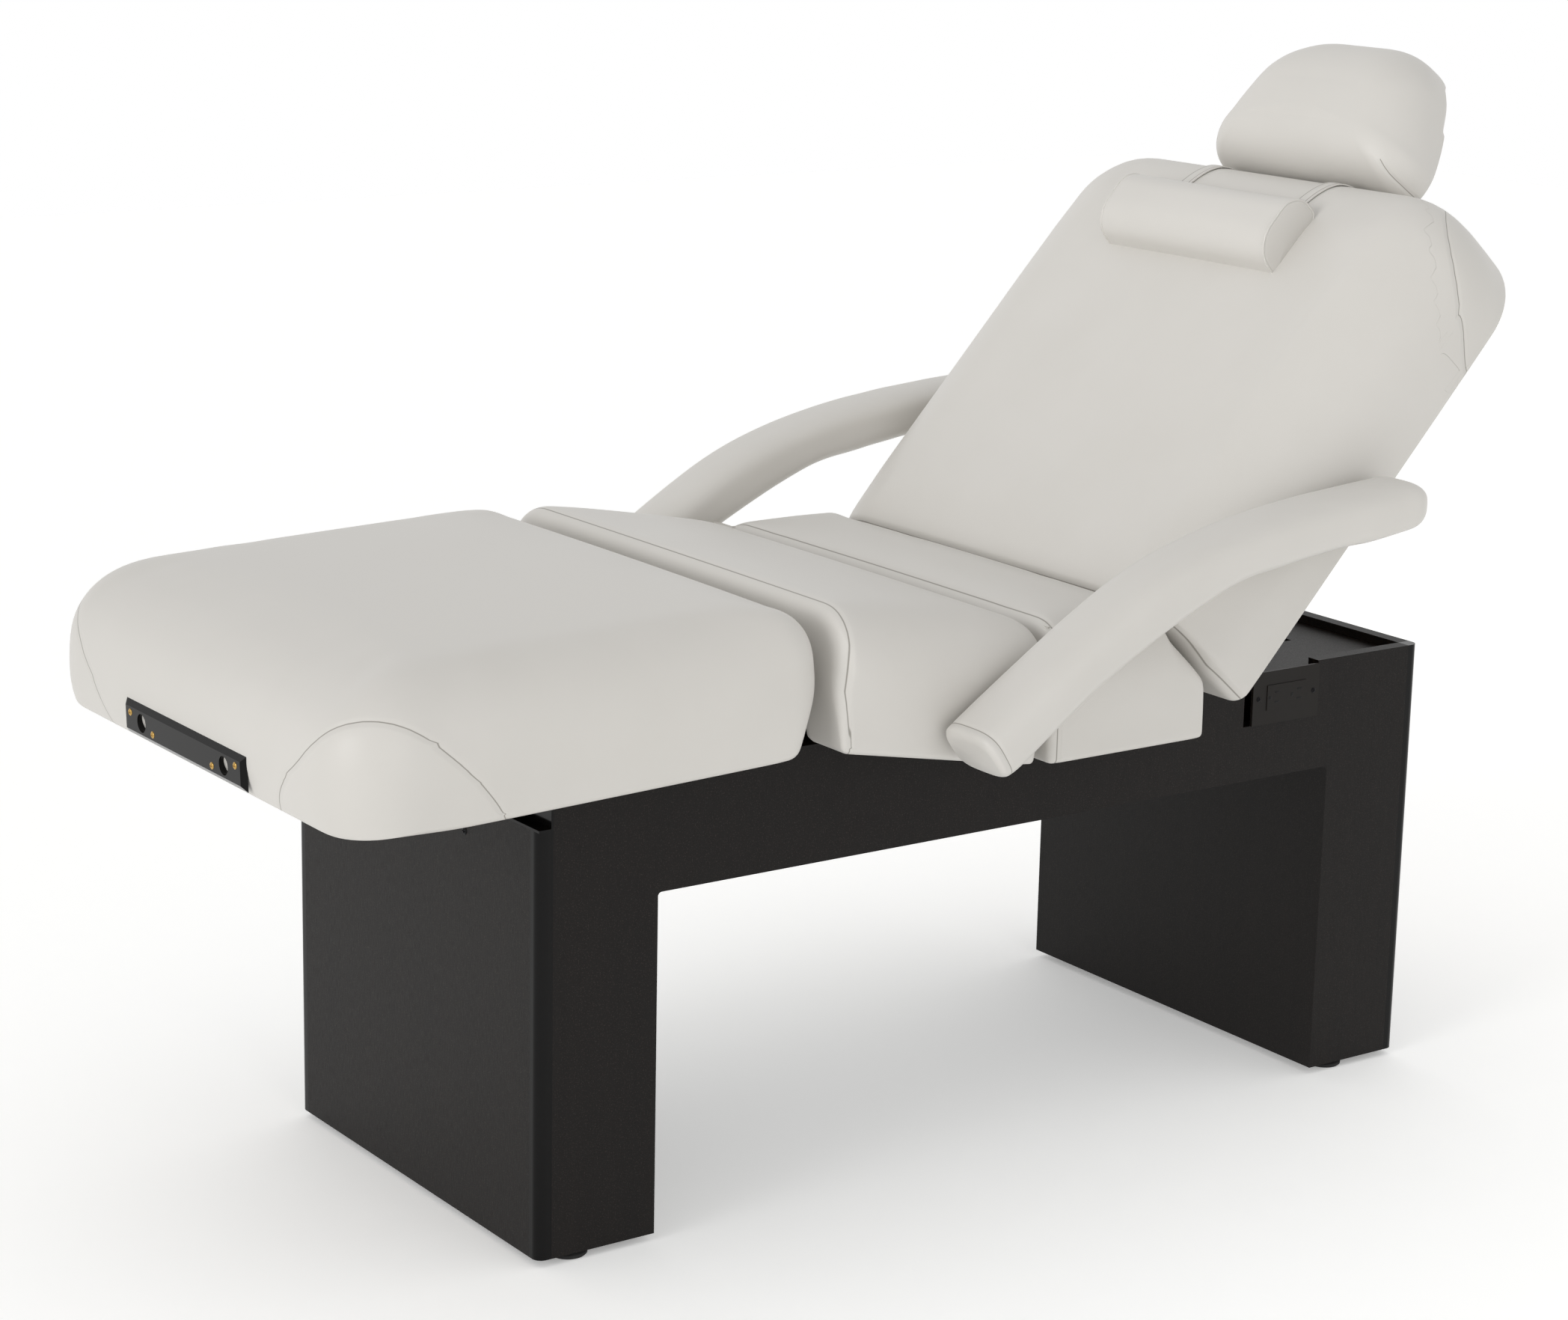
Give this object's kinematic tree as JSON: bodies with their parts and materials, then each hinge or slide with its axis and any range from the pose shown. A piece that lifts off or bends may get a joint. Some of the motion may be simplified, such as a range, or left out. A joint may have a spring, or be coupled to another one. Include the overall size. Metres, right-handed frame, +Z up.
{
  "type": "spa treatment table",
  "caption": "Powered spa treatment table with a dark bridge-shaped cabinet base, padded sections that tilt, padded arms, headrest and neck bolster.",
  "frame": {"origin": "on the floor, under the middle of the table's overall length and width", "axes": "+X towards the head end, +Y across the table, away from the side that carries the outlet, +Z up"},
  "size_m": [1.8221, 0.97, 1.3384],
  "materials": {
    "laminate": "satin",
    "gloss_black": "gloss",
    "upholstery": "satin",
    "plywood": "matte",
    "black_steel": "satin",
    "bright_steel": "satin",
    "chrome": "polished",
    "brass": "satin",
    "rubber": "matte",
    "device": "satin",
    "alu": "satin",
    "black_alu": "satin"
  },
  "bodies": {
    "base": {"side_panel_right": "laminate", "side_panel_left": "laminate", "foot_end_panel": "laminate", "head_end_panel": "laminate", "foot_inner_panel": "laminate", "head_inner_panel": "laminate", "beam_soffit": "laminate", "foot_floor": "laminate", "head_floor": "laminate", "deck_side_right": "laminate", "deck_side_left": "laminate", "deck_head": "laminate", "corner_post_foot_right": "gloss_black", "corner_post_foot_left": "gloss_black", "corner_post_head_right": "gloss_black", "corner_post_head_left": "gloss_black", "corner_pull": "gloss_black", "outlet_plate": "device", "outlet_receptacle": "device", "mains_inlet": "device", "level_foot_foot_right": "rubber", "level_foot_foot_left": "rubber", "level_foot_head_right": "rubber", "level_foot_head_left": "rubber", "column_outer_foot": "alu", "column_outer_head": "alu"},
    "top_frame": {"top_frame": "black_steel", "column_inner_foot": "alu", "column_inner_head": "alu", "back_actuator": "black_steel", "thigh_actuator": "black_steel", "seat_deck": "plywood", "seat_cushion": "upholstery", "arm_post_right": "black_steel", "arm_post_left": "black_steel"},
    "thigh": {"thigh_deck": "plywood", "thigh_cushion": "upholstery", "thigh_frame": "black_steel"},
    "leg": {"leg_deck": "plywood", "leg_cushion": "upholstery", "leg_frame": "black_steel", "foot_socket_tubes": "bright_steel", "foot_socket_plate": "gloss_black", "foot_plate_screws": "brass"},
    "leg_link": {"leg_links": "black_steel"},
    "back": {"back_deck": "plywood", "back_cushion": "upholstery", "back_frame": "black_steel", "head_socket_tubes": "bright_steel", "bolster_straps": "upholstery"},
    "bolster": {"bolster": "upholstery"},
    "headrest_carriage": {"headrest_rods": "chrome"},
    "headrest": {"headrest_frame": "black_alu", "headrest_pad": "upholstery"},
    "arm_right": {"arm_pad_right": "upholstery", "arm_core_right": "black_steel"},
    "arm_left": {"arm_pad_left": "upholstery", "arm_core_left": "black_steel"},
    "back_rod": {"back_rod": "chrome"},
    "thigh_rod": {"thigh_rod": "chrome"}
  },
  "joints": [
    {"name": "lift", "type": "slide", "parent": "base", "child": "top_frame", "axis": [0, 0, 1], "range_m": [0, 0.25]},
    {"name": "back_tilt", "type": "hinge", "parent": "top_frame", "child": "back", "pos_m": [0.294, 0, 0.603], "axis": [0, -1, 0], "range_deg": [-47.3, 7.7]},
    {"name": "back_rod_slide", "type": "slide", "parent": "top_frame", "child": "back_rod", "axis": [1, 0, 0], "range_m": [-0.08801, 0.01475]},
    {"name": "thigh_tilt", "type": "hinge", "parent": "top_frame", "child": "thigh", "pos_m": [0.054, 0, 0.603], "axis": [0, 1, 0], "range_deg": [-10.86, 9.14]},
    {"name": "thigh_rod_slide", "type": "slide", "parent": "top_frame", "child": "thigh_rod", "axis": [1, 0, 0], "range_m": [-0.01661, 0.01964]},
    {"name": "leg_tilt", "type": "hinge", "parent": "thigh", "child": "leg", "pos_m": [-0.2642, 0, 0.66404], "axis": [0, 1, 0], "range_deg": [-10.76, 12.76]},
    {"name": "leg_link_swing", "type": "hinge", "parent": "top_frame", "child": "leg_link", "pos_m": [0.054, 0, 0.558], "axis": [0, 1, 0], "range_deg": [-10.91, 9.19]},
    {"name": "headrest_slide", "type": "slide", "parent": "back", "child": "headrest_carriage", "axis": [0.6782, 0, 0.7349], "range_m": [0, 0.12]},
    {"name": "headrest_tilt", "type": "hinge", "parent": "headrest_carriage", "child": "headrest", "pos_m": [0.83213, 0, 1.12423], "axis": [0, -1, 0], "range_deg": [-45, 0]},
    {"name": "bolster_slide", "type": "slide", "parent": "back", "child": "bolster", "axis": [0.6782, 0, 0.7349], "range_m": [-0.08, 0.03]},
    {"name": "arm_right_swing", "type": "hinge", "parent": "top_frame", "child": "arm_right", "pos_m": [0.088, -0.393, 0.678], "axis": [0, 1, 0], "range_deg": [0, 35]},
    {"name": "arm_left_swing", "type": "hinge", "parent": "top_frame", "child": "arm_left", "pos_m": [0.088, 0.393, 0.678], "axis": [0, 1, 0], "range_deg": [0, 35]}
  ],
  "couplings": [
    {"joint": "back_rod_slide", "follows": "back_tilt", "m_per_rad": 0.106},
    {"joint": "thigh_rod_slide", "follows": "thigh_tilt", "m_per_rad": -0.101},
    {"joint": "leg_tilt", "follows": "thigh_tilt", "ratio": -1.1657},
    {"joint": "leg_link_swing", "follows": "thigh_tilt", "ratio": 1}
  ]
}
